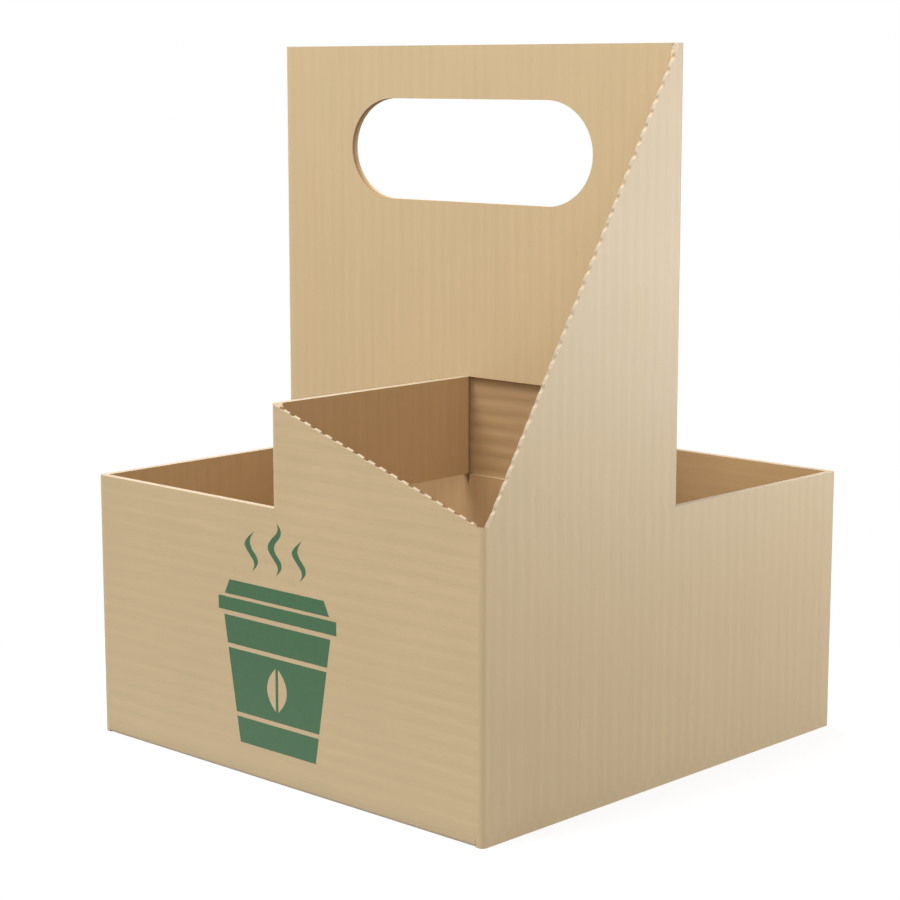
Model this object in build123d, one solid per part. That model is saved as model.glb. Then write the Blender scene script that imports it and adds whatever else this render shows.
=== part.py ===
from build123d import *
import math
import os

# Cup carrier folded from one sheet of corrugated board and glued.
# The origin is at the bottom centre, +Z up. The front wall faces -Y and the right wall faces +X.
# The carrier looks the same after half a turn about Z, so one half is built and then turned.

# Walls, outside sizes
width = 200.0
depth = 200.0
low_height = 101.0        # the cut-down half of every wall
corner_height = 108.0     # where a raised front half meets a raised side half
divider_height = 138.5    # top of the dividers and of the raised front half
handle_height = 262.5

# Board
board = 2.8               # thickness of the sheet
centre_ply = 1.4          # each of the plies pressed together in the middle
fold_radius = 1.8         # outside of an upright folded edge
floor_radius = 1.2        # outside of the folds along the floor
slip = 0.5                # gap beside the free edge of a floor half, partition or handle ply
divider_slip = 0.3        # gap between a divider's free end and the handle
ply_lap = 0.8             # how far each handle ply runs past the middle, below the dividers' top

# Hand hole through both handle plies, with ends a little longer than half circles
hole_length = 123.0
hole_height = 38.4
hole_end = 22.0           # length of each rounded end
hole_drop = 39.1          # from the handle's top to the hole's middle

# Relief nick in the partition's top edge, beside the end of each divider
nick_width = 2.2
nick_depth = 4.0

# Glue flap that closes the ring of walls
flap_width = 30.0
flap_inset = 6.0          # from the floor and from the low wall's top
flap_taper = 5.0          # how far its free corners are cut back

# Flutes, seen as hollows along the slanted cut edges
flute_pitch = 5.5
flute_depth = 5.0
liner = 0.45              # flat paper on each side of the board
medium = 0.45             # waved paper between the liners
edge_margin = 1.5         # board left whole at each end of a slanted edge

half_width = width / 2
half_depth = depth / 2
half_board = board / 2
inner_x = half_width - board
inner_y = half_depth - board
flute_slope = math.atan2(board - 2 * liner, flute_pitch / 2)


def panel(outline, plane, thickness):
    """A flat panel: a closed outline drawn on a plane and given a thickness along its normal."""
    return extrude(plane * make_face(Polyline(*outline, close=True)), amount=thickness)


def front_wall():
    """The front wall, low on the left and raised on the right, where it slopes to the near corner."""
    outline = [
        (-half_width, 0), (half_width, 0), (half_width, corner_height), (inner_x, corner_height),
        (-half_board, divider_height), (-half_board, low_height), (-half_width, low_height),
    ]
    return panel(outline, Plane.XZ.offset(inner_y), board)


def right_wall():
    """The right wall, raised in front with a steep diagonal edge and low behind."""
    outline = [
        (-half_depth, 0), (half_depth, 0), (half_depth, low_height), (centre_ply, low_height),
        (centre_ply, handle_height), (-centre_ply, handle_height), (-inner_y, corner_height),
        (-half_depth, corner_height),
    ]
    return panel(outline, Plane.YZ.offset(inner_x), board)


def divider():
    """The divider, turned in from the front wall's raised half and ending just before the handle."""
    end = -centre_ply - divider_slip
    outline = [(-inner_y, low_height), (end, low_height), (end, divider_height), (-inner_y, divider_height)]
    return panel(outline, Plane.YZ.offset(-half_board), board)


def handle_ply():
    """The rear handle ply, turned in from the right wall and cut away below on the left."""
    free_edge = -inner_x + slip
    outline = [
        (inner_x, low_height), (inner_x, handle_height), (free_edge, handle_height),
        (free_edge, divider_height), (-ply_lap, divider_height), (-ply_lap, low_height),
    ]
    return panel(outline, Plane.XZ.offset(-centre_ply), centre_ply)


def floor_half():
    """The front half of the floor, turned up in the middle as the front ply of the partition."""
    reach = inner_x - slip
    profile = [
        (-inner_y, 0), (0, 0), (0, low_height), (-centre_ply, low_height), (-centre_ply, board),
        (-inner_y, board),
    ]
    half = panel(profile, Plane.YZ.offset(-reach), 2 * reach)
    turn = half.edges().filter_by(Axis.X).sort_by_distance((0, 0, 0))[0]
    nick = [(0, low_height), (nick_width, low_height), (nick_width / 2, low_height - nick_depth)]
    return fillet(turn, floor_radius) - panel(nick, Plane.XZ, centre_ply)


def glue_flap():
    """The glue flap, turned in from the left wall's rear edge and lying inside the rear wall."""
    bottom, top = board + flap_inset, low_height - flap_inset
    free_edge = -inner_x + flap_width
    outline = [
        (-inner_x, bottom), (free_edge, bottom + flap_taper), (free_edge, top - flap_taper), (-inner_x, top),
    ]
    return panel(outline, Plane.XZ.offset(-inner_y), board)


def hand_hole():
    """The hand hole, a slot with half-oval ends right through the handle."""
    half_height = hole_height / 2
    end_x = hole_length / 2 - hole_end
    right_end = EllipticalCenterArc((end_x, 0), hole_end, half_height, start_angle=-90, arc_size=180)
    left_end = EllipticalCenterArc((-end_x, 0), hole_end, half_height, start_angle=90, arc_size=180)
    top, bottom = Line(right_end @ 1, left_end @ 0), Line(left_end @ 1, right_end @ 0)
    slot = Plane.XZ * Pos(0, handle_height - hole_drop) * make_face([right_end, top, left_end, bottom])
    return extrude(slot, amount=board, both=True)


def hollow(middle, base, top):
    """The open triangle of half a flute, between the liner at base and the wave's crest at top."""
    half_base = abs(top - base) / math.tan(flute_slope)
    corners = [(middle - half_base, base), (middle + half_base, base), (middle, top)]
    return make_face(Polyline(*corners, close=True))


def flute_hollows(start, end, outward):
    """The hollows along a slanted cut edge, from start to end along the wall's outer face.

    The medium zigzags between the two liners, so each pitch has one hollow against the outer liner
    and one against the inner liner. Seen from outside, the board lies to the left of the way from
    start to end.
    """
    along = Vector(*end) - Vector(*start)
    inward = -Vector(*outward)
    cut_face = Plane(origin=start, x_dir=along, z_dir=along.cross(inward))
    usable = along.length - 2 * edge_margin
    count = int(usable / flute_pitch)
    first = edge_margin + (usable - count * flute_pitch) / 2
    crest = medium / 2 / math.cos(flute_slope)
    section = Sketch()
    for i in range(count):
        middle = first + (i + 0.5) * flute_pitch
        section += hollow(middle - flute_pitch / 4, liner, board - liner - crest)
        section += hollow(middle + flute_pitch / 4, board - liner, liner + crest)
    return extrude(cut_face * section, amount=flute_depth)


def rounded_block():
    """The block that the carrier fills, rounded along the corner folds and along the floor's folds."""
    corners = extrude(RectangleRounded(width, depth, fold_radius), handle_height)
    side_view = Pos(0, handle_height / 2) * Rectangle(depth, handle_height)
    side_view = fillet(side_view.vertices().sort_by(Axis.Y)[:2], floor_radius)
    return corners & extrude(Plane.YZ * side_view, half_width, both=True)


def turned(piece):
    """The same piece after half a turn about the carrier's upright axis."""
    return piece.rotate(Axis.Z, 180)


def upright_edges(solid, x, y):
    """The upright edges that stand at x, y and at the place half a turn from it."""
    near = 0.01
    return [
        edge for edge in solid.edges().filter_by(Axis.Z)
        for way in (1, -1)
        if abs(edge.center().X - way * x) < near and abs(edge.center().Y - way * y) < near
    ]


def carrier():
    """The folded carrier as one solid."""
    half = front_wall() + right_wall() + divider() + handle_ply() + floor_half()
    sheet = (half + turned(half) + glue_flap()) & rounded_block()
    for x, y in ((half_width, centre_ply), (-half_board, -half_depth)):
        sheet = fillet(upright_edges(sheet, x, y), fold_radius)
    front_slope = flute_hollows(
        (inner_x, -half_depth, corner_height), (-half_board, -half_depth, divider_height), (0, -1, 0)
    )
    side_slope = flute_hollows(
        (half_width, -centre_ply, handle_height), (half_width, -inner_y, corner_height), (1, 0, 0)
    )
    slopes = front_slope + side_slope
    return sheet - hand_hole() - slopes - turned(slopes)


sheet = carrier()
print(sheet.is_valid, len(sheet.solids()), sheet.volume)
os.makedirs("parts", exist_ok=True)
export_step(sheet, "parts/carrier.step")
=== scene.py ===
"""Looks of a cup carrier folded from corrugated board: its board, its print and a plain studio.

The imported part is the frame. The carrier's sheet is rebuilt here with its folds, its fluted cut edges
and its paper faces, and it takes the place of the part's plain solid. Lengths are in metres.
"""

import math

import bpy
import numpy as np
from bpy.props import FloatProperty, FloatVectorProperty, IntProperty, PointerProperty
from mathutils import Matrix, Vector


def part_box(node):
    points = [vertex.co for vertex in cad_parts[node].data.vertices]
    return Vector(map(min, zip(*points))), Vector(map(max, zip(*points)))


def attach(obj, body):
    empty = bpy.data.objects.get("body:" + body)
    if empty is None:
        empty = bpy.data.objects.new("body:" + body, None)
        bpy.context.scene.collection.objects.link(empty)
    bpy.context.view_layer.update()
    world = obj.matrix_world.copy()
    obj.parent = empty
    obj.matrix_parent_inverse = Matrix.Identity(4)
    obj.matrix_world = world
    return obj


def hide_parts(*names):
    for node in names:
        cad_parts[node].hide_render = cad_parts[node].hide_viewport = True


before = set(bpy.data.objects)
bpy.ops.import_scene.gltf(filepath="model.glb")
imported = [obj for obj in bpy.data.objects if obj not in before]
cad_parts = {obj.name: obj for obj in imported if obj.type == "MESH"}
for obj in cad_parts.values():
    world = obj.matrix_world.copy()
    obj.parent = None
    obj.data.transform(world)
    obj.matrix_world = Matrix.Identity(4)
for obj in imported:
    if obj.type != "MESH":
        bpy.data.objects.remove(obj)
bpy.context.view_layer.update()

bl_info = {
    "name": "Cup Carrier",
    "version": (1, 0, 0),
    "blender": (4, 5, 0),
    "location": "3D View > Sidebar > Cup Carrier",
    "description": "Dresses a folded cup carrier in corrugated board and sets it in a plain studio",
    "category": "Add Mesh",
}

LOWEST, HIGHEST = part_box("carrier")
HALF = HIGHEST.x
TOP = HIGHEST.z

# Finishes of the sheet's faces, which are also its materials' numbers. The inside finish is the inner paper darkened
# partly as painted shade, the banded one is darker still as painted shade in the recess, and the shaded one is a
# painted shade colour for edges that lie in shade.
PAPER, INSIDE_AND_SHADE, CUT, BANDED_SHADED, PRINTED, RIM, SHADED = range(7)
SLOPE_ROWS = 10         # rows of cells that stay below a fluted edge
POCKET_START = 0.0004  # a cut edge sunk deeper than this shows brown paper
PRESSED_FROM = 0.56     # share of the board's thickness from which a slanted cut edge is pressed down
FLAT_ROWS = 6           # rows of cells of a slanted cut edge up to there
PRESSED = 0.002         # board thinner than this is a pressed ply


class CarrierSheet(bpy.types.PropertyGroup):
    """The sizes of the folded sheet."""

    board: FloatProperty(name="Board", description="Thickness of the sheet", default=0.0028, unit="LENGTH")
    ply: FloatProperty(
        name="Ply", description="Thickness of each ply pressed together in the middle", default=0.0014, unit="LENGTH")
    seam: FloatProperty(
        name="Seam", description="Gap between the pressed plies", default=0.00004, precision=5, unit="LENGTH")
    low: FloatProperty(name="Low Wall", description="Height of the cut-down walls", default=0.101, unit="LENGTH")
    corner: FloatProperty(
        name="Near Corner", description="Height where two raised walls meet", default=0.108, unit="LENGTH")
    divider: FloatProperty(name="Divider", description="Height of the dividers", default=0.1385, unit="LENGTH")
    divider_slip: FloatProperty(
        name="Divider Slip", description="Gap at a divider's free end", default=0.0003, precision=4, unit="LENGTH")
    slip: FloatProperty(
        name="Slip", description="Gap beside the free edges inside", default=0.0005, precision=4, unit="LENGTH")
    fold: FloatProperty(name="Fold", description="Outside radius of an upright fold", default=0.0018, unit="LENGTH")
    floor_fold: FloatProperty(
        name="Floor Fold", description="Outside radius of a fold along the floor", default=0.0012, unit="LENGTH")
    crease: FloatProperty(
        name="Crease", description="Inside radius of every fold", default=0.0003, precision=4, unit="LENGTH")
    hole_length: FloatProperty(name="Hole Length", description="Length of the hand hole", default=0.123, unit="LENGTH")
    hole_height: FloatProperty(name="Hole Height", description="Height of the hand hole", default=0.0384, unit="LENGTH")
    hole_end: FloatProperty(
        name="Hole End", description="Length of each rounded end of the hand hole", default=0.022, unit="LENGTH")
    hole_drop: FloatProperty(
        name="Hole Drop", description="From the handle's top to the hand hole's middle", default=0.0391, unit="LENGTH")
    nick_width: FloatProperty(name="Nick Width", description="Width of the relief nick", default=0.0022, unit="LENGTH")
    nick_depth: FloatProperty(name="Nick Depth", description="Depth of the relief nick", default=0.004, unit="LENGTH")
    flap: FloatProperty(name="Glue Flap", description="Width of the glue flap", default=0.03, unit="LENGTH")
    flap_inset: FloatProperty(
        name="Flap Inset", description="How far the glue flap stays from floor and top", default=0.006, unit="LENGTH")
    flap_taper: FloatProperty(
        name="Flap Taper", description="How far the flap's free corners are cut back", default=0.005, unit="LENGTH")
    pitch: FloatProperty(name="Flute Pitch", description="Distance between flutes", default=0.0055, unit="LENGTH")
    pocket: FloatProperty(
        name="Pocket Depth", description="How deep the cut flutes open", default=0.0009, unit="LENGTH")
    crush: FloatProperty(
        name="Crush", description="How far a slanted cut edge is pressed down along its inner paper", default=0.0018,
        precision=4, unit="LENGTH")
    lip: FloatProperty(
        name="Lip Dip", description="How far the outer paper dips at a flute", default=0.0003, precision=4, unit="LENGTH")
    step: FloatProperty(name="Grid", description="Longest side of a cell of the mesh", default=0.006, unit="LENGTH")
    fold_steps: IntProperty(name="Fold Steps", description="Cells round each fold", default=6, min=2)
    tooth_steps: IntProperty(name="Tooth Steps", description="Points along one flute's pitch", default=14, min=8)


def lines(*stops, step):
    """Every stop, with even lines between neighbouring stops that lie no further apart than step."""
    spans = [
        np.linspace(a, b, max(1, math.ceil(abs(b - a) / step - 1e-6)) + 1)[:-1] for a, b in zip(stops, stops[1:])
    ]
    return np.concatenate(spans + [[stops[-1]]])


def arc(centre, radius, start, turn, steps):
    """Points of a circle in plan: the centre plus the radius times cosine and sine of an even row of angles."""
    angle = start + turn * np.linspace(0, 1, steps + 1)
    return np.asarray(centre) + radius * np.column_stack((np.cos(angle), np.sin(angle)))


def in_plan(fixed, moving, axis):
    """Plan points along a straight wall: moving runs along the axis, and fixed is where the wall stands."""
    flat = np.full((len(moving), 2), float(fixed))
    flat[:, axis] = moving
    return flat


class Strip:
    """Columns of board in plan, with the outer and the inner face of each, and how the flutes lie."""

    def __init__(self, outer, inner, level):
        self.outer = outer
        self.inner = inner
        self.level = np.broadcast_to(level, len(outer) - 1)

    def __add__(self, other):
        """Both strips in a row. The last column of one is the first of the other."""
        return Strip(
            np.vstack((self.outer, other.outer[1:])), np.vstack((self.inner, other.inner[1:])),
            np.concatenate((self.level, other.level)))

    def part(self, start, stop):
        """The columns from start to stop, both kept."""
        return Strip(self.outer[start:stop + 1], self.inner[start:stop + 1], self.level[start:stop])


class Block:
    """A grid of board cells: points of its outer and inner face, and the flutes' way and finish of each face."""

    def __init__(self, outer, inner, run, rise, level, finish):
        self.outer = outer
        self.inner = inner
        self.run = run + 0 * outer[..., 0]
        self.rise = rise + 0 * outer[..., 0]
        rows, columns = outer.shape[0] - 1, outer.shape[1] - 1
        self.level = np.broadcast_to(level, (2, rows, columns))
        self.finish = np.broadcast_to(np.reshape(finish, (2, -1, 1)), (2, rows, columns)).copy()
        self.kept = np.ones((rows, columns), bool)

    def turned(self):
        """The same block after half a turn about the upright axis. The print is on the front alone."""
        half_turn = np.array([-1, -1, 1])
        copy = Block(self.outer * half_turn, self.inner * half_turn, self.run, self.rise, self.level, (0, 0))
        copy.finish = np.where(self.finish == PRINTED, PAPER, self.finish)
        copy.kept = self.kept.copy()
        return copy


def raised(strip, bottom, top, share, finish, gap=0.0):
    """A block over a strip of columns: each column's height goes from its bottom to its top by the rows' shares.

    The gap lifts the lowest row alone.
    """
    height = bottom + share[:, None] * (top - bottom)
    height[0] += gap
    shape = height.shape
    outer = np.dstack((np.broadcast_to(strip.outer[:, 0], shape), np.broadcast_to(strip.outer[:, 1], shape), height))
    inner = np.dstack((np.broadcast_to(strip.inner[:, 0], shape), np.broadcast_to(strip.inner[:, 1], shape), height))
    steps = np.hypot(*np.diff(strip.outer, axis=0).T)
    run = np.concatenate(([0], np.cumsum(steps)))
    return Block(outer, inner, run[None, :], height, strip.level, finish)


class Plan:
    """Where every panel and fold of half the carrier lies in plan, worked out from the sheet's sizes."""

    def __init__(self, sheet):
        self.sheet = sheet
        board, fold, crease, steps = sheet.board, sheet.fold, sheet.crease, sheet.fold_steps
        self.inside = HALF - board
        self.free = self.inside - sheet.slip
        half_board = board / 2
        bend = HALF - fold
        soft = self.inside - crease
        quarter = math.pi / 2

        self.front_slope = self.slope(-half_board, self.inside, sheet.divider - sheet.corner)
        self.side_slope = self.slope(-self.inside, -sheet.ply, TOP - sheet.corner)

        fold_x = fold - half_board
        fine = self.front_slope
        nick_lines = [fine[0], fine[1], fine[4]]
        left = lines(-bend, -self.free, -half_board, 0, fold_x, step=sheet.step)
        comb = np.concatenate((nick_lines, fine[sheet.tooth_steps::sheet.tooth_steps]))
        self.front_lines = np.concatenate((left, comb, [self.free, self.inside, bend]))
        self.front_start = len(left) - 1
        self.front_comb = (len(left), len(left) + len(comb) - 1)
        knots = [-bend, -0.093, -0.005, fold_x, fine[sheet.tooth_steps], fine[-1], self.inside, bend]
        shifted = [-soft, -0.093, -0.005, half_board + crease, knots[4], knots[5], soft - 0.00005, soft]
        self.front_knots = (knots, shifted)
        inner_lines = np.interp(self.front_lines, knots, shifted)
        self.front = Strip(in_plan(-HALF, self.front_lines, 0), in_plan(-self.inside, inner_lines, 0), True)

        fine = self.side_slope
        comb = fine[::sheet.tooth_steps]
        rear = lines(-sheet.ply, sheet.ply - fold, step=sheet.step)
        rest = lines(sheet.ply - fold, 0.093, bend, step=sheet.step)
        self.side_lines = np.concatenate(([-bend, -self.inside], comb, rear, rest[1:]))
        self.side_comb = (2, 1 + len(comb))
        self.side_stop = 1 + len(comb) + len(rear)
        knots = [-bend, -self.inside, fine[0], fine[-1], 0.093, bend]
        shifted = [-soft, -soft + 0.00005, fine[0], fine[-1], 0.093, soft]
        inner_lines = np.interp(self.side_lines, knots, shifted)
        self.side = Strip(in_plan(HALF, self.side_lines, 1), in_plan(self.inside, inner_lines, 1), False)

        self.near = Strip(
            arc((bend, -bend), fold, -quarter, quarter, steps), arc((soft, -soft), crease, -quarter, quarter, steps),
            False)
        self.far = Strip(
            arc((bend, bend), fold, 0, quarter, steps), arc((soft, soft), crease, 0, quarter, steps), False)
        self.divider_fold = Strip(
            arc((fold_x, -bend), fold, -2 * quarter, quarter, steps),
            arc((half_board + crease, -soft), crease, -2 * quarter, quarter, steps), False)
        turn_y = sheet.ply - fold
        self.handle_fold = Strip(
            arc((bend, turn_y), fold, 0, quarter, steps),
            arc((soft, sheet.seam / 2 - crease), crease, 0, quarter, steps), False)
        end = -sheet.ply - sheet.divider_slip
        run = lines(end, -0.094, -bend, step=sheet.step)
        inner_run = np.interp(-run, [-end, 0.094, bend], [-end, 0.094, soft])
        self.divider = Strip(in_plan(-half_board, run, 1), in_plan(half_board, -inner_run, 1), False)

    def slope(self, start, end, rise):
        """Points along a slanted cut edge, by the coordinate that runs along the wall.

        As many whole pitches as fit between the margins, each with the same number of steps.
        """
        sheet = self.sheet
        length = math.hypot(end - start, rise)
        margin = 0.0015
        count = int((length - 2 * margin) / sheet.pitch)
        along = (length - count * sheet.pitch) / 2 + sheet.pitch * np.arange(
            count * sheet.tooth_steps + 1) / sheet.tooth_steps
        return start + along * (end - start) / length

    def front_top(self, x):
        """Height of the raised front half over x: level, then straight down to the near corner."""
        return np.interp(x, [-self.sheet.board / 2, self.inside], [self.sheet.divider, self.sheet.corner])

    def side_top(self, y):
        """Height of the raised right half over y: level at the corner, then straight up to the handle."""
        return np.interp(y, [-self.inside, -self.sheet.ply], [self.sheet.corner, TOP])


def ring_blocks(plan):
    """The ring of low walls, from the front wall's left end to the fold behind the right wall."""
    sheet = plan.sheet
    ring = plan.front + plan.near + plan.side + plan.far
    skirt_height = 0.004
    height = lines(skirt_height, sheet.low, step=sheet.step)
    share = (height - skirt_height) / (sheet.low - skirt_height)
    low = np.full(len(ring.outer), skirt_height)
    walls = raised(ring, low, 0 * low + sheet.low, share, (PAPER, INSIDE_AND_SHADE))
    walls.finish[0, :, :len(plan.front_lines) - 1] = PRINTED
    slit = len(plan.front_lines) - 3
    ends = np.array([0.0, 1.0])
    skirt = raised(ring.part(slit, len(ring.outer) - 1), 0 * low[slit:], low[slit:], ends, (PAPER, INSIDE_AND_SHADE))
    left = raised(ring.part(0, 1), 0 * low[:2], low[:2], ends, (PAPER, INSIDE_AND_SHADE))
    opening = 0.0003
    skirt.outer[0, 0, 0] += opening
    skirt.inner[0, 0, 0] += opening
    left.outer[0, -1, 0] -= opening
    left.inner[0, -1, 0] -= opening
    return [walls, skirt, left]


def arm_block(plan, share):
    """The raised walls: the divider, its fold, the front half, the near corner, the right half and the handle's fold.

    Between the two fluted edges the inner paper of the near corner is pressed down as far as theirs.
    """
    sheet = plan.sheet
    front = plan.front.part(plan.front_start, len(plan.front_lines) - 1)
    side = plan.side.part(0, plan.side_stop)
    arm = plan.divider + plan.divider_fold + front + plan.near + side + plan.handle_fold
    first = len(plan.divider.outer) + sheet.fold_steps - 1
    corner = first + len(front.outer) - 1
    after = corner + sheet.fold_steps
    last = after + len(side.outer) - 1
    x, y = arm.outer.T
    top = np.where(np.arange(len(x)) < after, plan.front_top(x), plan.side_top(y))
    gap = np.zeros(len(x))
    gap[:first] = 0.00015
    gap[last + 1:] = 0.00015
    block = raised(arm, np.full(len(x), sheet.low), top, share, (PAPER, INSIDE_AND_SHADE), gap)
    front_comb = (first + plan.front_comb[0] - plan.front_start, first + plan.front_comb[1] - plan.front_start)
    side_comb = (after + plan.side_comb[0], after + plan.side_comb[1])
    block.inner[:, front_comb[1]:side_comb[0] + 1, 2] -= sheet.crush * share[:, None]
    return block, front_comb, side_comb


class Teeth:
    """How the flutes open along one slanted cut edge.

    In pitches, the lean is how far a pocket shifts from the outer to the inner face, the gap is its width,
    and soft is the width of its flanks. Opening, from 0 to 1, is how deep it is cut behind the outer paper.
    """

    def __init__(self, lean, gap, soft, opening):
        self.lean = lean
        self.gap = gap
        self.soft = soft
        self.opening = opening

    def sink(self, across, through, sheet):
        """How deep the pockets are.

        Each pitch has one pocket. Its mask is a smooth step of how far inside the pocket's slanted sides
        a point is. The outer paper only dips, and behind it the pocket is cut as deep as the opening says.
        """
        middle = 0.5 + self.lean * (through - 0.5)
        inside = np.clip((self.gap / 2 - np.abs(across % 1.0 - middle)) / self.soft, 0, 1)
        mask = inside * inside * (3 - 2 * inside)
        lip = sheet.lip / sheet.pocket
        behind = np.interp(through, [0.12, 0.22], [0, 1])
        return sheet.pocket * mask * (lip + (1 - lip) * behind * self.opening)


class Comb:
    """A slanted cut edge with open flutes: a height field over its length and its thickness."""

    def __init__(self, points, sink):
        self.points = points
        self.sink = sink
        self.outer = points[0]
        self.inner = points[-1]

    def turned(self):
        """The same edge after half a turn about the upright axis."""
        return Comb(self.points * np.array([-1, -1, 1]), self.sink)


def fluted(outer, inner, teeth, sheet):
    """The comb between an outer and an inner line of points, which sink into the board in the wall's plane.

    Its inner part is pressed straight down: not at all at its higher end, soon after it by the sheet's crush
    measured square to the edge, and by the crush itself at the near corner.
    """
    across = np.arange(len(outer)) / sheet.tooth_steps
    through = np.array([0, 0.06, 0.12, 0.22, 0.30, 0.38, PRESSED_FROM, 0.78, 1.0])
    along = outer[-1] - outer[0]
    down = np.cross(along, outer[0] - inner[0])
    down = -down * np.sign(down[2]) / np.linalg.norm(down)
    share = through[:, None, None]
    flat = outer[None] * (1 - share) + inner[None] * share
    sink = teeth.sink(across[None, :], through[:, None], sheet)
    from_top = across if outer[0, 2] > outer[-1, 2] else across[::-1]
    steep = np.linalg.norm(along) / np.hypot(along[0], along[1])
    amount = np.interp(from_top, [0, 0.3, across[-1] - 1, across[-1]], [0, steep, steep, 1])
    crush = sheet.crush * amount * np.interp(through, [PRESSED_FROM, 1], [0, 1])[:, None]
    points = flat + sink[..., None] * down
    points[..., 2] -= crush
    return Comb(points, sink)


def slope_combs(plan, sheet):
    """The fluted edges of the raised front half and the raised right half.

    The steep one is cut less deep, and less and less lower down.
    """
    fine = plan.front_slope
    height = plan.front_top(fine)
    outer = np.column_stack((fine, np.full(len(fine), -HALF), height))
    inner = np.column_stack((np.interp(fine, *plan.front_knots), np.full(len(fine), -plan.inside), height))
    front = fluted(outer, inner, Teeth(-0.30, 0.40, 0.05, 1.0), sheet)
    fine = plan.side_slope
    height = plan.side_top(fine)
    outer = np.column_stack((np.full(len(fine), HALF), fine, height))
    inner = np.column_stack((np.full(len(fine), plan.inside), fine, height))
    opening = np.interp(height, [0.165, 0.205], [0.10, 0.35])[None, :]
    return front, fluted(outer, inner, Teeth(0.04, 0.64, 0.30, opening), sheet)


def ply_grid(x, z, sheet):
    """A stretch of the rear handle ply over a grid of x, running to the left, and z."""
    outer = np.dstack((x, np.full(x.shape, sheet.ply), z))
    inner = np.dstack((x, np.full(x.shape, sheet.seam / 2), z))
    level = np.array([False, True])[:, None, None]
    # The inner face, seen only in the recess below the front ply, takes the banded finish with its painted shade
    return Block(outer, inner, -x, z, level, (PAPER, BANDED_SHADED))


def hole_ring(points, sheet):
    """Points of the hand hole that belong to points of the box round it.

    A box point above or below the straight part goes straight in. The others go to the half oval at that
    end, by their share of the way round that end of the box.
    """
    reach = sheet.hole_length / 2 - sheet.hole_end
    half_height = sheet.hole_height / 2
    centre = TOP - sheet.hole_drop
    x, z = points[:, 0], points[:, 1] - centre
    wide, high = np.abs(x).max(), np.abs(z).max()
    way = np.where(np.abs(x) >= wide - 1e-9, (wide - reach) + (high - np.abs(z)), np.abs(x) - reach)
    angle = np.pi / 2 * (1 - way / (wide - reach + high))
    straight = np.abs(x) <= reach + 1e-9
    hole_x = np.where(straight, x, np.sign(x) * (reach + sheet.hole_end * np.cos(angle)))
    hole_z = np.where(straight, np.sign(z) * half_height, np.sign(z) * half_height * np.sin(angle))
    return np.column_stack((hole_x, hole_z + centre))


def ply_blocks(plan, height, frame_rows):
    """The rear handle ply with its hand hole, cut away below on the left."""
    sheet = plan.sheet
    reach = sheet.hole_length / 2 - sheet.hole_end
    frame_x = sheet.hole_length / 2 + 0.011
    lap = 0.0008
    x = -lines(-plan.free, -frame_x, -reach, lap, reach, frame_x, plan.free, step=0.004)
    bottom = height.copy()
    bottom[0] += 0.00015
    edge = plan.handle_fold
    pair = np.array([edge.outer[-1, 0], x[0]])
    hinge = ply_grid(*np.meshgrid(pair, bottom), sheet)
    hinge.inner[:, 0, 0] = edge.inner[-1, 0]
    low, frame_low, frame_high = frame_rows
    last, top = len(x) - 1, len(height) - 1
    middle, right, left = (int(np.argmin(np.abs(x - stop))) for stop in (-lap, frame_x, -frame_x))
    patches = (
        (0, middle, 0, low, bottom), (0, last, low, frame_low, height), (0, right, frame_low, frame_high, height),
        (left, last, frame_low, frame_high, height), (0, last, frame_high, top, height),
    )
    blocks = [ply_grid(*np.meshgrid(x[a:b + 1], z[c:d + 1]), sheet) for a, b, c, d, z in patches]
    across, up = x[right:left + 1], height[frame_low:frame_high + 1]
    low_side = in_plan(up[0], across, 0)
    left_side = in_plan(across[-1], up, 1)
    high_side = in_plan(up[-1], across[::-1], 0)
    right_side = in_plan(across[0], up[::-1], 1)
    loop = np.vstack((low_side, left_side[1:], high_side[1:], right_side[1:]))
    share = np.array([0, 0.35, 0.7, 0.93, 1.0])[:, None, None]
    ring = loop[None] * (1 - share) + hole_ring(loop, sheet)[None] * share
    return [hinge, *blocks, ply_grid(ring[..., 0], ring[..., 1], sheet)]


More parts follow.
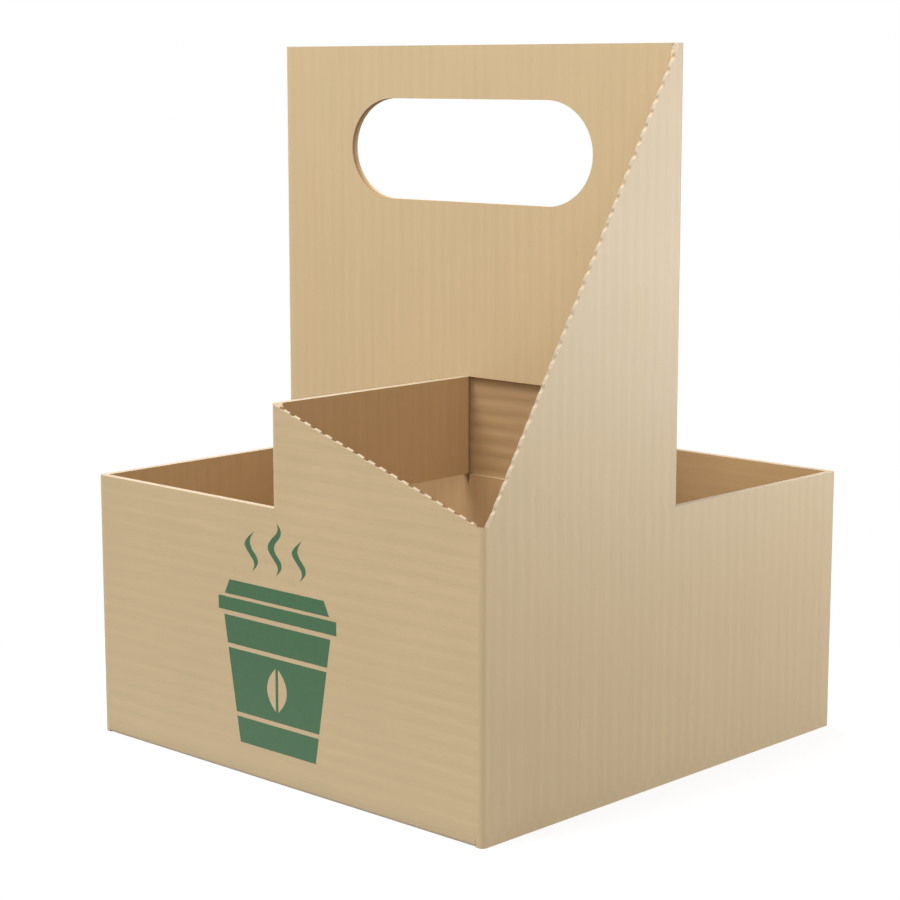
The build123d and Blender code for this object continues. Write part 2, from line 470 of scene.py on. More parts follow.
def floor_block(plan):
    """The front half of the floor and its turned-up partition ply, as one profile along the front wall's lines.

    The profile goes down the partition, round the middle fold, along the floor and up to the front wall.
    """
    sheet = plan.sheet
    half = sheet.seam / 2
    skirt_height = 0.004
    turn = np.linspace(0, math.pi / 2, sheet.fold_steps + 1)
    upright = lines(sheet.low, skirt_height, step=sheet.step)
    floor_y = lines(-0.004, -0.096, step=0.008)
    radius, crease, ply = sheet.floor_fold, sheet.crease, sheet.ply
    inner_z = sheet.board + crease
    mid_out = np.column_stack((-half - radius + radius * np.cos(turn), radius - radius * np.sin(turn)))
    mid_in = np.column_stack((-ply - crease + crease * np.cos(turn), inner_z - crease * np.sin(turn)))
    front_out = np.column_stack((radius - HALF - radius * np.sin(turn), radius - radius * np.cos(turn)))
    front_in = np.column_stack((crease - plan.inside - crease * np.sin(turn), inner_z - crease * np.cos(turn)))
    outer = np.vstack((
        in_plan(-half, upright, 1), mid_out, in_plan(0, floor_y, 0), front_out, [[-HALF, skirt_height]]))
    inner = np.vstack((
        in_plan(-ply, upright, 1), mid_in, in_plan(sheet.board, floor_y, 0), front_in,
        [[-plan.inside, skirt_height]]))
    x = plan.front_lines[1:-2]
    rows = len(outer)
    x_out = np.tile(x, (rows, 1))
    nick = plan.front_comb[0] - 1
    x_out[:-1, nick:nick + 3] = sheet.nick_width * np.array([0.35, 0.5, 1.0])
    x_in = x_out.copy()
    x_in[-1] = np.interp(x, *plan.front_knots)
    faces = []
    for across, side in ((x_out, outer), (x_in, inner)):
        y, z = (np.tile(side[:, [k]], len(x)) for k in (0, 1))
        z[0] -= np.interp(across[0], sheet.nick_width * np.array([0, 0.5, 1]), [0, sheet.nick_depth, 0])
        faces.append(np.dstack((across, y, z)))
    steps = np.hypot(*np.diff(outer, axis=0).T)
    run = np.concatenate(([0], np.cumsum(steps)))
    level = np.arange(rows - 1)[:, None] >= len(upright) - 1
    return Block(faces[0], faces[1], x_out, run[:, None], level, (PAPER, INSIDE_AND_SHADE))


def flap_block(plan):
    """The glue flap inside the rear wall, from the left wall to its tapered free end."""
    sheet = plan.sheet
    bottom, top = sheet.board + sheet.flap_inset, sheet.low - sheet.flap_inset
    sunk, glue = 0.0008, 0.00003
    run = -lines(plan.inside - sheet.flap, plan.inside + sunk, step=sheet.step)
    taper = np.interp(-run, [-run[0], plan.inside], [sheet.flap_taper, 0])
    share = np.linspace(0, 1, 13)[:, None]
    height = (bottom + taper) * (1 - share) + (top - taper) * share
    x = np.tile(run, (len(height), 1))
    outer = np.dstack((x, np.full(x.shape, plan.inside - glue), height))
    inner = np.dstack((x, np.full(x.shape, plan.inside - sheet.board), height))
    return Block(outer, inner, -x, height, False, (PAPER, INSIDE_AND_SHADE))


CORNERS = (np.s_[:-1, :-1], np.s_[:-1, 1:], np.s_[1:, 1:], np.s_[1:, :-1])


def cells(grid, pick=None):
    """The four corners of each cell of a grid, or of the cells that are picked."""
    parts = [grid[corner] for corner in CORNERS]
    if pick is None:
        return np.stack([part.ravel() for part in parts], axis=1)
    return np.stack([part[pick] for part in parts], axis=1)


class Weld:
    """Joins blocks of board cells into one closed mesh.

    Points of different blocks are one point when both faces of the board agree there. Each free edge
    gets a face across the board's thickness, and a fluted edge gets its comb instead.
    """

    def __init__(self, handle_from):
        self.handle_from = handle_from
        self.blocks = []
        self.combs = []
        self.polygons = []
        self.uvs = []
        self.finishes = []

    def add_comb(self, block, columns, comb):
        """Takes in a fluted edge that closes a block between two columns, over one large face below it."""
        block.kept[SLOPE_ROWS:, columns[0]:columns[1]] = False
        self.combs.append((block, columns, comb))

    def put(self, points, uv, finish):
        """Adds faces with equally many corners, a row of points each, with their UV and finish."""
        self.polygons.append(points)
        self.uvs.append(uv)
        self.finishes.append(np.broadcast_to(finish, len(points)))

    def numbered(self):
        """Gives each pair of outer and inner points its number, the same for points that agree."""
        grids = [(b.outer, b.inner) for b in self.blocks]
        grids += [(comb.outer[None], comb.inner[None]) for _, _, comb in self.combs]
        pairs = np.concatenate([np.concatenate(g, axis=-1).reshape(-1, 6) for g in grids])
        _, first, number = np.unique(np.round(pairs, 7), axis=0, return_index=True, return_inverse=True)
        self.pairs = pairs[first]
        shapes = [g[0].shape[:2] for g in grids]
        ends = np.cumsum([rows * columns for rows, columns in shapes])[:-1]
        numbers = [part.reshape(shape) for part, shape in zip(np.split(number.ravel(), ends), shapes)]
        return numbers[:len(self.blocks)], [n[0] for n in numbers[len(self.blocks):]]

    def both_faces(self, points, run, rise, level, finish):
        """Adds faces of the outer side and, turned over, of the inner side. The UV's second way follows the flutes."""
        count = len(self.pairs)
        for side, way in ((0, 1), (1, -1)):
            along = level[side][:, None]
            uv = np.stack((np.where(along, rise, run), np.where(along, run, rise)), axis=-1)
            self.put(points[:, ::way] + side * count, uv[:, ::way], finish[side])

    def mesh(self, name):
        """Builds the closed mesh, with the flutes' run as its UV map and one finish for each face."""
        grids, edges = self.numbered()
        count = len(self.pairs)
        rings = []
        for block, number in zip(self.blocks, grids):
            pick = block.kept
            quads = cells(number, pick)
            self.both_faces(
                quads, cells(block.run, pick), cells(block.rise, pick), block.level[:, pick], block.finish[:, pick])
            rings.append(quads)

        between, ends, fluted_edges = [], {}, []
        total = 2 * count
        for (block, columns, comb), edge in zip(self.combs, edges):
            number = grids[self.blocks.index(block)]
            a, b = columns
            ring = np.concatenate((
                number[SLOPE_ROWS, a:b + 1], number[SLOPE_ROWS + 1:-1, b], edge[::-1],
                number[-2:SLOPE_ROWS:-1, a]))[None]
            for side, way in ((0, 1), (1, -1)):
                corners = self.pairs[ring[0], 3 * side:3 * side + 3]
                run = block.run[0, a] + np.hypot(*(corners[:, :2] - corners[0, :2]).T)
                rise = corners[:, 2]
                uv = np.column_stack((rise, run) if block.level[side, -1, a] else (run, rise))[None]
                self.put(ring[:, ::way] + side * count, uv[:, ::way], block.finish[side, -1, a])
            rings.append(ring)
            inner_points = comb.points[1:-1]
            rows, points = inner_points.shape[:2]
            middle = total + np.arange(rows * points).reshape(rows, points)
            total += rows * points
            between.append(inner_points.reshape(-1, 3))
            strip = np.vstack((edge, middle, edge + count))
            along, through = np.meshgrid(np.arange(points) * 1e-4, np.arange(rows + 2) * 1e-4)
            depth = cells(comb.sink).mean(axis=1)
            finish = np.where(depth > POCKET_START, RIM, CUT).reshape(rows + 1, points - 1)
            finish[FLAT_ROWS:] = INSIDE_AND_SHADE
            finish = finish.ravel()
            self.put(cells(strip), np.stack((cells(along), cells(through)), axis=-1), finish)
            fluted_edges.append(edge[1:].astype(np.int64) * count + edge[:-1])
            ends[int(edge[0])] = middle[:, 0]
            ends[int(edge[-1])] = middle[:, -1]

        start = np.concatenate([ring.ravel() for ring in rings]).astype(np.int64)
        stop = np.concatenate([np.roll(ring, -1, axis=1).ravel() for ring in rings]).astype(np.int64)
        code, back = start * count + stop, stop * count + start
        free = ~np.isin(code, back) & ~np.isin(code, np.concatenate(fluted_edges))
        a, b = start[free], stop[free]
        at_comb = np.isin(a, list(ends)) | np.isin(b, list(ends))
        plain = np.stack((b, a, a + count, b + count), axis=1)[~at_comb]
        flat = np.array([[0, 0], [1e-4, 0], [1e-4, 1e-4], [0, 1e-4]])
        self.put(plain, np.broadcast_to(flat, (len(plain), 4, 2)), self.edge_finish(plain))
        none = np.zeros(0, int)
        for tail, head in zip(a[at_comb].tolist(), b[at_comb].tolist()):
            down, up = ends.get(tail, none), ends.get(head, none)[::-1]
            face = np.concatenate(([head, tail], down, [tail + count, head + count], up))[None]
            self.put(face, np.zeros((1, face.shape[1], 2)), CUT)
        return self.built(name, np.vstack([self.pairs[:, :3], self.pairs[:, 3:]] + between))

    def edge_finish(self, faces):
        """The finish of plain cut edges.

        Pressed-edge brown on the rear ply in the hand hole; a dark painted shade colour on the front ply in the hand
        hole and where pressed plies end inside; plain paper along the partition's top; and else cut paper.
        """
        pair = self.pairs[faces[:, 1]]
        thin = np.linalg.norm(pair[:, :3] - pair[:, 3:], axis=1) < PRESSED
        top = np.maximum(pair[:, 2], self.pairs[faces[:, 0], 2])
        lowest = np.minimum(pair[:, 2], self.pairs[faces[:, 0], 2])
        hole = thin & (top > self.handle_from + 0.001) & (top < TOP - 0.001) & (np.abs(pair[:, 0]) < 0.08)
        inner_end = thin & (lowest < self.handle_from - 0.001) & (top - lowest > 1e-5)
        partition = thin & (top < self.handle_from - 0.001)
        front_ply = pair[:, 1] < 0
        light = np.where(hole, RIM, np.where(partition, PAPER, CUT))
        # The front ply's hole edge and the plies' ends inside get the shaded finish: painted shade
        return np.where(inner_end | (hole & front_ply), SHADED, light)

    def built(self, name, points):
        """The mesh data of all faces, smooth over soft turns and sharp at the edges, without unused points."""
        sizes = np.concatenate([np.full(len(p), p.shape[1]) for p in self.polygons])
        used, loops = np.unique(np.concatenate([p.ravel() for p in self.polygons]), return_inverse=True)
        points = points[used]
        mesh = bpy.data.meshes.new(name)
        mesh.vertices.add(len(points))
        mesh.vertices.foreach_set("co", points.astype(np.float32).ravel())
        mesh.loops.add(len(loops))
        mesh.loops.foreach_set("vertex_index", loops.astype(np.int32))
        mesh.polygons.add(len(sizes))
        mesh.polygons.foreach_set("loop_start", np.concatenate(([0], np.cumsum(sizes)[:-1])).astype(np.int32))
        mesh.polygons.foreach_set("material_index", np.concatenate(self.finishes).astype(np.int32))
        mesh.update(calc_edges=True)
        layer = mesh.uv_layers.new(name="flutes")
        corners = np.concatenate([u.reshape(-1, 2) for u in self.uvs])
        layer.data.foreach_set("uv", corners.astype(np.float32).ravel())
        mesh.set_sharp_from_angle(angle=math.radians(35))
        return mesh


class CarrierFinish(bpy.types.PropertyGroup):
    """The colours and the texture of the paper and its print."""

    outside: FloatVectorProperty(
        name="Outside", description="Colour of the outer paper", default=(0.512, 0.379, 0.208), subtype="COLOR")
    # Inner paper: partly its own browner tone, partly painted shade that darkens every inner face below the outer
    # paper's colour
    inside: FloatVectorProperty(
        name="Inside", description="Colour of the inner paper", default=(0.42, 0.274, 0.136), subtype="COLOR")
    cut: FloatVectorProperty(
        name="Cut Edge", description="Colour of the cut edges", default=(0.305, 0.238, 0.155), subtype="COLOR")
    rim: FloatVectorProperty(
        name="Pressed Edge", description="Colour of the pressed plies' cut edges", default=(0.36, 0.25, 0.128),
        subtype="COLOR")
    ink: FloatVectorProperty(
        name="Ink", description="Colour of the print", default=(0.004, 0.082, 0.017), subtype="COLOR")
    # Painted shade: a dark brown for the plies' ends inside and the front ply's edge in the hand hole
    shaded: FloatVectorProperty(
        name="Shaded Edge", description="Colour of the dark ends of plies inside", default=(0.24, 0.135, 0.06),
        subtype="COLOR")
    roughness: FloatProperty(name="Roughness", description="Roughness of the paper", default=0.44, min=0, max=1)
    gloss: FloatProperty(name="Gloss", description="Strength of the paper's sheen", default=0.735, min=0, max=1)
    stripes: FloatProperty(name="Flute Stripes", description="How far the flutes shade the paper", default=0.014)
    streaks: FloatProperty(name="Streaks", description="How far the fibres shade the paper", default=0.045)
    blotches: FloatProperty(name="Blotches", description="How far large soft patches shade the paper", default=0.045)
    flecks: FloatProperty(name="Flecks", description="How far single fibres and flecks shade the paper", default=0.07)


class Tree:
    """Adds nodes to a node tree and joins them."""

    def __init__(self, tree):
        self.tree = tree

    def add(self, kind, **settings):
        """A new node with its settings."""
        node = self.tree.nodes.new(kind)
        for name, value in settings.items():
            setattr(node, name, value)
        return node

    def feed(self, socket, value):
        """Joins a socket to an input, or sets the input itself."""
        if isinstance(value, bpy.types.NodeSocket):
            self.tree.links.new(value, socket)
        else:
            socket.default_value = value

    def math(self, operation, *values):
        """The result of a Math node."""
        node = self.add("ShaderNodeMath", operation=operation)
        for socket, value in zip(node.inputs, values):
            self.feed(socket, value)
        return node.outputs[0]

    def blend(self, operation, values):
        """One Math operation carried over a row of values."""
        result = values[0]
        for value in values[1:]:
            result = self.math(operation, result, value)
        return result

    def stretched(self, vector, scale):
        """A vector with each part times its own scale."""
        node = self.add("ShaderNodeVectorMath", operation="MULTIPLY")
        self.feed(node.inputs[0], vector)
        node.inputs[1].default_value = scale
        return node.outputs[0]

    def noise(self, vector, scale, detail=2.0):
        """Soft noise from about -1 to 1."""
        node = self.add("ShaderNodeTexNoise")
        self.feed(node.inputs["Vector"], self.stretched(vector, scale))
        node.inputs["Scale"].default_value = 1.0
        node.inputs["Detail"].default_value = detail
        return self.math("MULTIPLY_ADD", node.outputs["Fac"], 2.0, -1.0)

    def ramp(self, value, low, high):
        """A smooth step from 0 at low to 1 at high."""
        node = self.add("ShaderNodeMapRange", interpolation_type="SMOOTHSTEP")
        self.feed(node.inputs["Value"], value)
        node.inputs["From Min"].default_value = low
        node.inputs["From Max"].default_value = high
        return node.outputs["Result"]


def paper_group(pitch):
    """The shared kraft paper: flute stripes, streaks along the flutes, soft blotches, fibres and flecks.

    Place is the object's own coordinates. Flutes is the UV map, in metres, whose second way follows the
    flutes. The colour is multiplied by one plus each effect times its strength. Height is in tenths of a
    millimetre.
    """
    group = bpy.data.node_groups.new("kraft_paper", "ShaderNodeTree")
    sockets = (
        ("Place", "NodeSocketVector"), ("Flutes", "NodeSocketVector"), ("Colour", "NodeSocketColor"),
        ("Stripes", "NodeSocketFloat"), ("Streaks", "NodeSocketFloat"), ("Blotches", "NodeSocketFloat"),
        ("Flecks", "NodeSocketFloat"), ("Relief", "NodeSocketFloat"), ("Roughness", "NodeSocketFloat"),
    )
    for name, kind in sockets:
        group.interface.new_socket(name, in_out="INPUT", socket_type=kind)
    for name, kind in (("Colour", "NodeSocketColor"), ("Roughness", "NodeSocketFloat"), ("Height", "NodeSocketFloat")):
        group.interface.new_socket(name, in_out="OUTPUT", socket_type=kind)
    tree = Tree(group)
    given = tree.add("NodeGroupInput").outputs
    result = tree.add("NodeGroupOutput").inputs
    place, flutes = given["Place"], given["Flutes"]

    across = tree.add("ShaderNodeSeparateXYZ")
    tree.feed(across.inputs[0], flutes)
    waver = tree.noise(flutes, (60, 22, 0))
    turns = tree.math("MULTIPLY_ADD", across.outputs[0], 2 * math.pi / pitch, tree.math("MULTIPLY", waver, 1.3))
    wave = tree.math("SINE", turns)
    strength = tree.math("MULTIPLY_ADD", tree.noise(place, (28, 28, 28)), 0.7, 1.0)
    stripe = tree.math("MULTIPLY", wave, strength)
    streak = tree.math("ADD", tree.noise(flutes, (620, 14, 0)), tree.noise(flutes, (1500, 60, 0)))
    blotch = tree.noise(place, (32, 32, 32), 4.0)
    fibre = tree.noise(flutes, (1700, 330, 0))

    cell = tree.add("ShaderNodeTexVoronoi")
    tree.feed(cell.inputs["Vector"], tree.stretched(flutes, (420, 150, 0)))
    cell.inputs["Scale"].default_value = 1.0
    kind = tree.add("ShaderNodeSeparateXYZ")
    tree.feed(kind.inputs[0], cell.outputs["Color"])
    spot = tree.math("SUBTRACT", 1.0, tree.ramp(cell.outputs["Distance"], 0.10, 0.24))
    rare = tree.math("GREATER_THAN", kind.outputs[0], 0.80)
    tone = tree.math("MULTIPLY_ADD", kind.outputs[1], 2.0, -1.25)
    fleck = tree.blend("MULTIPLY", [spot, rare, tone])
    fine = tree.math("MULTIPLY_ADD", fibre, 0.35, fleck)

    effects = [
        tree.math("MULTIPLY", effect, given[name])
        for name, effect in (("Stripes", stripe), ("Streaks", streak), ("Blotches", blotch), ("Flecks", fine))
    ]
    shade = tree.blend("ADD", [1.0, *effects])
    painted = tree.add("ShaderNodeVectorMath", operation="SCALE")
    tree.feed(painted.inputs[0], given["Colour"])
    tree.feed(painted.inputs["Scale"], shade)
    tree.feed(result["Colour"], painted.outputs[0])
    rough = tree.math("MULTIPLY_ADD", tree.math("ADD", blotch, fibre), 0.05, given["Roughness"])
    tree.feed(result["Roughness"], rough)
    relief = tree.math("MULTIPLY", stripe, given["Relief"])
    tree.feed(result["Height"], tree.blend("ADD", [relief, tree.math("MULTIPLY", streak, 0.03),
                                                   tree.math("MULTIPLY", fibre, 0.02)]))
    return group


def ragged_group():
    """The shared cut edge: fine light and dark tears in the colour and in the height."""
    group = bpy.data.node_groups.new("ragged_edge", "ShaderNodeTree")
    for name, kind in (("Place", "NodeSocketVector"), ("Colour", "NodeSocketColor"), ("Strength", "NodeSocketFloat")):
        group.interface.new_socket(name, in_out="INPUT", socket_type=kind)
    for name, kind in (("Colour", "NodeSocketColor"), ("Height", "NodeSocketFloat")):
        group.interface.new_socket(name, in_out="OUTPUT", socket_type=kind)
    tree = Tree(group)
    given = tree.add("NodeGroupInput").outputs
    result = tree.add("NodeGroupOutput").inputs
    tear = tree.math("ADD", tree.noise(given["Place"], (900, 900, 900), 3.0), tree.noise(given["Place"], (160, 160, 160)))
    painted = tree.add("ShaderNodeVectorMath", operation="SCALE")
    tree.feed(painted.inputs[0], given["Colour"])
    tree.feed(painted.inputs["Scale"], tree.math("MULTIPLY_ADD", tear, given["Strength"], 1.0))
    tree.feed(result["Colour"], painted.outputs[0])
    tree.feed(result["Height"], tear)
    return group


def cup_print(tree, place):
    """Where the ink lies: a plain take-away cup with a lid, a sleeve with a leaf, and three strokes of steam.

    Each shape is a distance that is positive inside: the least of its sides' distances. The sleeve's two
    lines and the leaf are left bare. Their distances are taken off the cup's.
    """
    parts = tree.add("ShaderNodeSeparateXYZ")
    tree.feed(parts.inputs[0], place)
    x, z = parts.outputs[0], parts.outputs[2]
    side = tree.math("ABSOLUTE", x)

    def band(bottom, top):
        return tree.math("MINIMUM", tree.math("SUBTRACT", z, bottom), tree.math("SUBTRACT", top, z))

    def taper(bottom, top, half_bottom, half_top):
        lean = (half_top - half_bottom) / (top - bottom)
        edge = tree.math("MULTIPLY_ADD", z, lean, half_bottom - lean * bottom)
        return tree.math("MINIMUM", band(bottom, top), tree.math("SUBTRACT", edge, side))

    def leaf(middle, half_length, half_width):
        share = tree.math("DIVIDE", tree.math("SUBTRACT", z, middle), half_length)
        square = tree.math("MULTIPLY", share, share)
        width = tree.math("MULTIPLY_ADD", square, -half_width, half_width)
        vein = tree.math("SUBTRACT", side, 0.0007)
        return tree.blend("MINIMUM", [tree.math("SUBTRACT", width, side), vein])

    def steam(middle, bottom, top):
        turn = tree.math("MULTIPLY", tree.math("SUBTRACT", z, bottom), 2 * math.pi / 0.0135)
        path = tree.math("MULTIPLY_ADD", tree.math("SINE", turn), 0.0022, middle)
        half = tree.math("MINIMUM", tree.math("MULTIPLY", band(bottom, top), 0.30), 0.0017)
        return tree.math("SUBTRACT", half, tree.math("ABSOLUTE", tree.math("SUBTRACT", x, path)))

    body = taper(0.012, 0.0585, 0.0200, 0.0280)
    bare = tree.blend("MAXIMUM", [band(0.0215, 0.0231), band(0.0465, 0.0481), leaf(0.0348, 0.0085, 0.0052)])
    cup = tree.math("MINIMUM", body, tree.math("MULTIPLY", bare, -1.0))
    lid = [taper(0.0602, 0.0652, 0.0310, 0.0310), taper(0.0664, 0.0718, 0.0275, 0.0248)]
    strokes = [steam(-0.0125, 0.0765, 0.0915), steam(0.0, 0.0765, 0.0962), steam(0.0125, 0.0765, 0.0915)]
    inside = tree.blend("MAXIMUM", [cup, *lid, *strokes])
    rough_edge = tree.math("MULTIPLY_ADD", tree.noise(place, (700, 700, 700)), 0.00012, inside)
    return tree.ramp(rough_edge, -0.00012, 0.00012)


def paper(name, group, colour, finish, stripes=1.0, streaks=1.0, relief=0.12, printed=False):
    """A material of kraft paper, with the print over it where it is printed."""
    material = bpy.data.materials.new(name)
    material.use_nodes = True
    tree = Tree(material.node_tree)
    shader = material.node_tree.nodes["Principled BSDF"]
    place = tree.add("ShaderNodeTexCoord").outputs["Object"]
    sheet = tree.add("ShaderNodeGroup", node_tree=group)
    tree.feed(sheet.inputs["Place"], place)
    tree.feed(sheet.inputs["Flutes"], tree.add("ShaderNodeUVMap", uv_map="flutes").outputs[0])
    settings = {
        "Colour": (*colour, 1), "Stripes": stripes * finish.stripes, "Streaks": streaks * finish.streaks,
        "Blotches": finish.blotches, "Flecks": finish.flecks, "Relief": relief, "Roughness": finish.roughness,
    }
    for key, value in settings.items():
        sheet.inputs[key].default_value = value
    colour_out, rough = sheet.outputs["Colour"], sheet.outputs["Roughness"]
    if printed:
        mask = cup_print(tree, place)
        worn = tree.math("MULTIPLY_ADD", tree.noise(place, (420, 420, 420), 3.0), 0.02, 0.98)
        cover = tree.math("MULTIPLY", mask, worn)
        mix = tree.add("ShaderNodeMix", data_type="RGBA")
        tree.feed(mix.inputs[0], cover)
        tree.feed(mix.inputs[6], colour_out)
        tree.feed(mix.inputs[7], (*finish.ink, 1))
        colour_out = mix.outputs[2]
        rough = tree.math("MULTIPLY_ADD", mask, -0.04, rough)
    tree.feed(shader.inputs["Base Color"], colour_out)
    tree.feed(shader.inputs["Roughness"], rough)
    shader.inputs["Specular IOR Level"].default_value = finish.gloss
    raise_bump(tree, shader, sheet.outputs["Height"])
    return material


def raise_bump(tree, shader, height):
    """Feeds a height, in tenths of a millimetre, to the shader's normal."""
    bump = tree.add("ShaderNodeBump")
    bump.inputs["Distance"].default_value = 0.0001
    tree.feed(bump.inputs["Height"], height)
    tree.feed(shader.inputs["Normal"], bump.outputs[0])


def cut_edge(name, group, colour, strength):
    """A material of torn fibres along a cut edge."""
    material = bpy.data.materials.new(name)
    material.use_nodes = True
    tree = Tree(material.node_tree)
    shader = material.node_tree.nodes["Principled BSDF"]
    torn = tree.add("ShaderNodeGroup", node_tree=group)
    tree.feed(torn.inputs["Place"], tree.add("ShaderNodeTexCoord").outputs["Object"])
    torn.inputs["Colour"].default_value = (*colour, 1)
    torn.inputs["Strength"].default_value = strength
    tree.feed(shader.inputs["Base Color"], torn.outputs["Colour"])
    shader.inputs["Roughness"].default_value = 0.7
    raise_bump(tree, shader, torn.outputs["Height"])
    return material


def board_finishes(finish, sheet):
    """The sheet's materials, in the order of the finishes' numbers."""
    kraft = paper_group(sheet.pitch)
    ragged = ragged_group()
    return (
        paper("kraft_outside", kraft, finish.outside, finish),
        # Inner faces: inner paper colour, darkened partly as painted shade inside the cells
        paper("kraft_inside_and_painted_shade", kraft, finish.inside, finish, streaks=1.2),
        cut_edge("cut_paper", ragged, finish.cut, 0.10),
        # Rear ply's face in the recess: the inner colour times 0.88 as painted shade in the recess, with strong flute
        # bands
        paper("kraft_banded_painted_shade", kraft, 0.88 * np.array(finish.inside), finish, stripes=4.5, streaks=2.5, relief=0.45),
        paper("kraft_printed", kraft, finish.outside, finish, printed=True),
        cut_edge("pressed_edge", ragged, finish.rim, 0.12),
        # Painted shade colour for edges that lie in shade
        cut_edge("shaded_edge", ragged, finish.shaded, 0.12),
    )


class CARRIER_OT_board(bpy.types.Operator):
    """Builds the folded sheet with its flutes, folds and hand hole"""

    bl_idname = "carrier.board"
    bl_label = "Folded Board"

    def execute(self, context):
        sheet = context.scene.carrier_sheet
        plan = Plan(sheet)
        frame_half = sheet.hole_height / 2 + 0.010
        centre = TOP - sheet.hole_drop
        stops = (sheet.divider, centre - frame_half, centre + frame_half)
        height = lines(sheet.low, *stops, TOP, step=0.005)
        frame_rows = [int(np.argmin(np.abs(height - stop))) for stop in stops]
        share = (height - sheet.low) / (TOP - sheet.low)
        arm, *comb_columns = arm_block(plan, share)
        half = [arm, *ring_blocks(plan), *ply_blocks(plan, height, frame_rows), floor_block(plan)]
        other_half = [block.turned() for block in half]
        weld = Weld(sheet.divider)
        weld.blocks = [*half, *other_half, flap_block(plan)]
        for columns, comb in zip(comb_columns, slope_combs(plan, sheet)):
            weld.add_comb(arm, columns, comb)
            weld.add_comb(other_half[0], columns, comb.turned())
        mesh = weld.mesh("folded_board")
        for material in board_finishes(context.scene.carrier_finish, sheet):
            mesh.materials.append(material)
        board = bpy.data.objects.new("folded_board", mesh)
        context.scene.collection.objects.link(board)
        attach(board, "root")
        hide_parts("carrier")
        return {"FINISHED"}


class CarrierStage(bpy.types.PropertyGroup):
    """The camera, the floor and the lights."""

    lens: FloatProperty(name="Lens", description="Focal length on a 36 mm sensor", default=90.8, unit="CAMERA")
    camera_yaw: FloatProperty(
        name="Camera Yaw", description="Turn of the view from straight along +Y",
        default=math.radians(-43.592), subtype="ANGLE")
    camera_drop: FloatProperty(
        name="Camera Drop", description="How far the camera looks down", default=math.radians(9.483), subtype="ANGLE")
    camera_place: FloatVectorProperty(
        name="Camera Place", description="Where the camera stands", default=(0.58562, -0.62559, 0.25300),
        subtype="TRANSLATION")
    ambient: FloatProperty(name="Ambient", description="Strength of the light from all round", default=0.3)


# Each lamp's name, place, aim, width and height, and power in watts
LAMPS = (
    ("key", (-0.6, -0.9, 2.4), (0, 0, 0.1), (1.4, 1.4), 84.0),
    ("near", (1.3, -1.3, 1.0), (0, 0, 0.1), (1.2, 1.2), 17.0),
    ("top", (0.0, 0.0, 0.85), (0, 0, 0), (0.7, 0.7), 4.2),
    ("left", (-1.5, 0.2, 1.4), (0, 0, 0.1), (1.4, 1.0), 28.0),
    ("side", (0.55, 0.52, 0.18), (0.1, 0.0, 0.17), (0.5, 0.3), 2.6),
)


def light(name, place, aim, size, power):
    """A soft rectangular lamp that faces the point aim."""
    lamp = bpy.data.lights.new(name, "AREA")
    lamp.shape = "RECTANGLE"
    lamp.size, lamp.size_y = size
    lamp.energy = power
    shown = bpy.data.objects.new(name, lamp)
    shown.location = place
    shown.rotation_euler = (Vector(aim) - Vector(place)).to_track_quat("-Z", "Y").to_euler()
    shown.visible_camera = False
    bpy.context.scene.collection.objects.link(shown)


def camera(stage):
    """The camera at the photograph's viewing angle."""
    yaw, drop = stage.camera_yaw, stage.camera_drop
    forward = Vector((math.sin(yaw) * math.cos(drop), math.cos(yaw) * math.cos(drop), -math.sin(drop)))
    data = bpy.data.cameras.new("camera")
    data.lens = stage.lens
    data.sensor_width = 36.0
    shown = bpy.data.objects.new("camera", data)
    shown.location = stage.camera_place
    shown.rotation_euler = forward.to_track_quat("-Z", "Y").to_euler()
    bpy.context.scene.collection.objects.link(shown)
    bpy.context.scene.camera = shown


def seen_directly(nodes, links):
    """A factor of 1 for rays from the camera, from gloss and through glass, and 0 for all others."""
    path = nodes.new("ShaderNodeLightPath")
    either = path.outputs["Is Camera Ray"]
    for kind in ("Is Glossy Ray", "Is Transmission Ray"):
        larger = nodes.new("ShaderNodeMath")
        larger.operation = "MAXIMUM"
        links.new(either, larger.inputs[0])
        links.new(path.outputs[kind], larger.inputs[1])
        either = larger.outputs[0]
    return either


def surroundings(stage):
    """A world that looks white and lights the carrier softly from all round."""
    world = bpy.data.worlds.new("studio")
    world.use_nodes = True
    nodes, links = world.node_tree.nodes, world.node_tree.links
    nodes.clear()
    lit = nodes.new("ShaderNodeBackground")
    lit.inputs["Strength"].default_value = stage.ambient
    white = nodes.new("ShaderNodeBackground")
    white.inputs["Strength"].default_value = 1.0
    for background in (lit, white):
        background.inputs["Color"].default_value = (1, 1, 1, 1)
    mix = nodes.new("ShaderNodeMixShader")
    links.new(seen_directly(nodes, links), mix.inputs[0])
    links.new(lit.outputs[0], mix.inputs[1])
    links.new(white.outputs[0], mix.inputs[2])
    links.new(mix.outputs[0], nodes.new("ShaderNodeOutputWorld").inputs["Surface"])
    bpy.context.scene.world = world


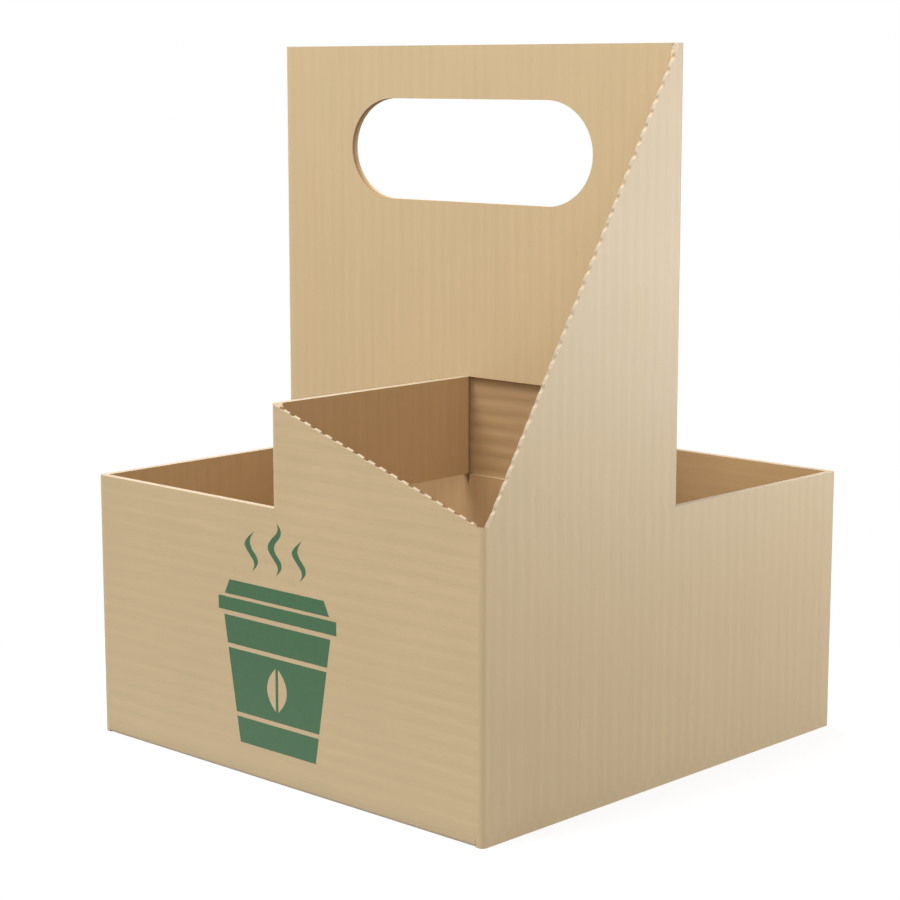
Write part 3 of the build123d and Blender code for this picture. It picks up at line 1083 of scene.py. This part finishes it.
def floor_finish():
    """A pale matte floor that keeps the shadow near the carrier and fades to white further out."""
    material = bpy.data.materials.new("floor")
    material.use_nodes = True
    nodes, links = material.node_tree.nodes, material.node_tree.links
    nodes.clear()
    matte = nodes.new("ShaderNodeBsdfDiffuse")
    white = nodes.new("ShaderNodeEmission")
    direct = seen_directly(nodes, links)
    tone = nodes.new("ShaderNodeMix")
    tone.data_type = "RGBA"
    tone.inputs[6].default_value = (0.16, 0.16, 0.16, 1)
    tone.inputs[7].default_value = (0.9, 0.9, 0.9, 1)
    links.new(direct, tone.inputs[0])
    links.new(tone.outputs[2], matte.inputs["Color"])
    place = nodes.new("ShaderNodeTexCoord")
    distance = nodes.new("ShaderNodeVectorMath")
    distance.operation = "LENGTH"
    fade = nodes.new("ShaderNodeMapRange")
    fade.inputs["From Min"].default_value = 0.12
    fade.inputs["From Max"].default_value = 0.24
    fade.inputs["To Min"].default_value = 0.75
    both = nodes.new("ShaderNodeMath")
    both.operation = "MULTIPLY"
    mix = nodes.new("ShaderNodeMixShader")
    links.new(place.outputs["Object"], distance.inputs[0])
    links.new(distance.outputs["Value"], fade.inputs["Value"])
    links.new(fade.outputs["Result"], both.inputs[0])
    links.new(direct, both.inputs[1])
    links.new(both.outputs[0], mix.inputs[0])
    links.new(matte.outputs[0], mix.inputs[1])
    links.new(white.outputs[0], mix.inputs[2])
    links.new(mix.outputs[0], nodes.new("ShaderNodeOutputMaterial").inputs["Surface"])
    return material


def floor():
    """A round floor as a fan of two rings, flat at z = 0."""
    turns = 96
    angle = np.linspace(0, 2 * np.pi, turns, endpoint=False)
    rings = [np.column_stack((r * np.cos(angle), r * np.sin(angle), 0 * angle)) for r in (0.5, 6.0)]
    points = np.vstack([[[0, 0, 0]]] + rings)
    i = np.arange(turns)
    j = (i + 1) % turns
    inner = [(0, 1 + a, 1 + b) for a, b in zip(i.tolist(), j.tolist())]
    outer = np.column_stack((1 + i, 1 + turns + i, 1 + turns + j, 1 + j)).tolist()
    mesh = bpy.data.meshes.new("floor")
    mesh.from_pydata(points.tolist(), [], inner + outer)
    mesh.materials.append(floor_finish())
    shown = bpy.data.objects.new("floor", mesh)
    bpy.context.scene.collection.objects.link(shown)


class CARRIER_OT_studio(bpy.types.Operator):
    """Sets up the camera, the floor and the lights"""

    bl_idname = "carrier.studio"
    bl_label = "Studio"

    def execute(self, context):
        stage = context.scene.carrier_stage
        context.scene.view_settings.view_transform = "Standard"
        camera(stage)
        surroundings(stage)
        floor()
        for lamp in LAMPS:
            light(*lamp)
        return {"FINISHED"}


class CARRIER_PT_panel(bpy.types.Panel):
    """Lists the carrier's pieces and its stage"""

    bl_idname = "CARRIER_PT_panel"
    bl_label = "Cup Carrier"
    bl_space_type = "VIEW_3D"
    bl_region_type = "UI"
    bl_category = "Cup Carrier"

    def draw(self, context):
        for operator in (CARRIER_OT_board, CARRIER_OT_studio):
            self.layout.operator(operator.bl_idname)


CLASSES = (CarrierSheet, CarrierFinish, CarrierStage, CARRIER_OT_board, CARRIER_OT_studio, CARRIER_PT_panel)


def register():
    for kind in CLASSES:
        bpy.utils.register_class(kind)
    bpy.types.Scene.carrier_sheet = PointerProperty(type=CarrierSheet)
    bpy.types.Scene.carrier_finish = PointerProperty(type=CarrierFinish)
    bpy.types.Scene.carrier_stage = PointerProperty(type=CarrierStage)


def unregister():
    del bpy.types.Scene.carrier_stage
    del bpy.types.Scene.carrier_finish
    del bpy.types.Scene.carrier_sheet
    for kind in reversed(CLASSES):
        bpy.utils.unregister_class(kind)


def main():
    """Builds every piece and the stage."""
    register()
    bpy.ops.carrier.board()
    bpy.ops.carrier.studio()


if __name__ == "__main__":
    main()
